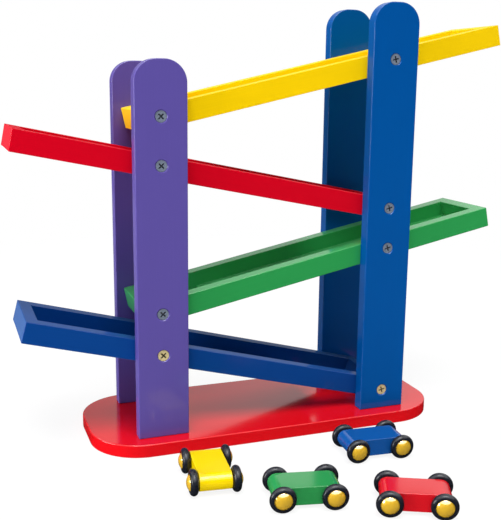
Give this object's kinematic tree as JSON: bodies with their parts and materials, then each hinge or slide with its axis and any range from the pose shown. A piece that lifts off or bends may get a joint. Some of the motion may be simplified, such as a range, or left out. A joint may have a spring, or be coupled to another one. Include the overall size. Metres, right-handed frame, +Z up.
{
  "type": "click clack track toy",
  "caption": "Wooden click clack track: tilted coloured ramps on paired uprights and a base board, with small wheeled cars that tumble from ramp to ramp.",
  "frame": {"origin": "centre of the base board's underside", "axes": "+Z up, +X along the base towards the taller blue uprights, -Y towards the front, where the cars stand"},
  "size_m": [0.3632, 0.2489, 0.311],
  "materials": {
    "red_lacquer": "gloss lacquer over wood",
    "purple_lacquer": "gloss lacquer over wood",
    "blue_lacquer": "gloss lacquer over wood",
    "yellow_lacquer": "gloss lacquer over wood",
    "green_lacquer": "gloss lacquer over wood",
    "zinc_screw": "zinc plated",
    "brass_screw": "yellow passivated",
    "axle_steel": "bright drawn",
    "wheel_black": "moulded, soft gloss",
    "cap_brass": "polished brass plate"
  },
  "bodies": {
    "stand": {"base_board": "red_lacquer", "purple_front_upright": "purple_lacquer", "purple_back_upright": "purple_lacquer", "blue_front_upright": "blue_lacquer", "blue_back_upright": "blue_lacquer", "yellow_ramp_front_rail": "yellow_lacquer", "yellow_ramp_back_rail": "yellow_lacquer", "yellow_ramp_floor": "yellow_lacquer", "yellow_ramp_upper_block": "yellow_lacquer", "yellow_ramp_lower_block": "yellow_lacquer", "red_ramp_front_rail": "red_lacquer", "red_ramp_back_rail": "red_lacquer", "red_ramp_floor": "red_lacquer", "red_ramp_upper_block": "red_lacquer", "red_ramp_lower_block": "red_lacquer", "green_ramp_front_rail": "green_lacquer", "green_ramp_back_rail": "green_lacquer", "green_ramp_floor": "green_lacquer", "green_ramp_upper_block": "green_lacquer", "green_ramp_lower_block": "green_lacquer", "blue_ramp_front_rail": "blue_lacquer", "blue_ramp_back_rail": "blue_lacquer", "blue_ramp_floor": "blue_lacquer", "blue_ramp_upper_block": "blue_lacquer", "blue_ramp_lower_block": "blue_lacquer", "front_zinc_screws": "zinc_screw", "back_zinc_screws": "zinc_screw", "lowest_brass_screws": "brass_screw", "base_screws": "zinc_screw"},
    "yellow_car": {"yellow_car_body": "yellow_lacquer"},
    "yellow_front_wheelset": {"yellow_car_front_axle": "axle_steel", "yellow_car_front_wheels": "wheel_black", "yellow_car_front_hub_caps": "cap_brass"},
    "yellow_rear_wheelset": {"yellow_car_rear_axle": "axle_steel", "yellow_car_rear_wheels": "wheel_black", "yellow_car_rear_hub_caps": "cap_brass"},
    "green_car": {"green_car_body": "green_lacquer"},
    "green_front_wheelset": {"green_car_front_axle": "axle_steel", "green_car_front_wheels": "wheel_black", "green_car_front_hub_caps": "cap_brass"},
    "green_rear_wheelset": {"green_car_rear_axle": "axle_steel", "green_car_rear_wheels": "wheel_black", "green_car_rear_hub_caps": "cap_brass"},
    "red_car": {"red_car_body": "red_lacquer"},
    "red_front_wheelset": {"red_car_front_axle": "axle_steel", "red_car_front_wheels": "wheel_black", "red_car_front_hub_caps": "cap_brass"},
    "red_rear_wheelset": {"red_car_rear_axle": "axle_steel", "red_car_rear_wheels": "wheel_black", "red_car_rear_hub_caps": "cap_brass"},
    "blue_car": {"blue_car_body": "blue_lacquer"},
    "blue_front_wheelset": {"blue_car_front_axle": "axle_steel", "blue_car_front_wheels": "wheel_black", "blue_car_front_hub_caps": "cap_brass"},
    "blue_rear_wheelset": {"blue_car_rear_axle": "axle_steel", "blue_car_rear_wheels": "wheel_black", "blue_car_rear_hub_caps": "cap_brass"}
  },
  "joints": [
    {"name": "yellow_car_roll", "type": "slide", "parent": "stand", "child": "yellow_car", "axis": [-0.1149, -0.9934, 0], "range_m": [-0.014, 0.05]},
    {"name": "yellow_front_axle_turn", "type": "hinge", "parent": "yellow_car", "child": "yellow_front_wheelset", "pos_m": [-0.07266, -0.11479, 0.00845], "axis": [0.9934, -0.1149, 0], "continuous": true},
    {"name": "yellow_rear_axle_turn", "type": "hinge", "parent": "yellow_car", "child": "yellow_rear_wheelset", "pos_m": [-0.06894, -0.08261, 0.00845], "axis": [0.9934, -0.1149, 0], "continuous": true},
    {"name": "green_car_roll", "type": "slide", "parent": "stand", "child": "green_car", "axis": [0.9781, -0.2079, 0], "range_m": [-0.004, 0.012]},
    {"name": "green_front_axle_turn", "type": "hinge", "parent": "green_car", "child": "green_front_wheelset", "pos_m": [-0.00715, -0.14607, 0.00845], "axis": [0.2079, 0.9781, 0], "continuous": true},
    {"name": "green_rear_axle_turn", "type": "hinge", "parent": "green_car", "child": "green_rear_wheelset", "pos_m": [-0.03885, -0.13933, 0.00845], "axis": [0.2079, 0.9781, 0], "continuous": true},
    {"name": "red_car_roll", "type": "slide", "parent": "stand", "child": "red_car", "axis": [0.9018, -0.4321, 0], "range_m": [0, 0.1]},
    {"name": "red_front_axle_turn", "type": "hinge", "parent": "red_car", "child": "red_front_wheelset", "pos_m": [0.05201, -0.1798, 0.00845], "axis": [0.4321, 0.9018, 0], "continuous": true},
    {"name": "red_rear_axle_turn", "type": "hinge", "parent": "red_car", "child": "red_rear_wheelset", "pos_m": [0.02279, -0.1658, 0.00845], "axis": [0.4321, 0.9018, 0], "continuous": true},
    {"name": "blue_car_roll", "type": "slide", "parent": "stand", "child": "blue_car", "axis": [0.9973, -0.0732, 0], "range_m": [-0.05, 0.1]},
    {"name": "blue_front_axle_turn", "type": "hinge", "parent": "blue_car", "child": "blue_front_wheelset", "pos_m": [0.06656, -0.09419, 0.00845], "axis": [0.0732, 0.9973, 0], "continuous": true},
    {"name": "blue_rear_axle_turn", "type": "hinge", "parent": "blue_car", "child": "blue_rear_wheelset", "pos_m": [0.03424, -0.09181, 0.00845], "axis": [0.0732, 0.9973, 0], "continuous": true}
  ]
}
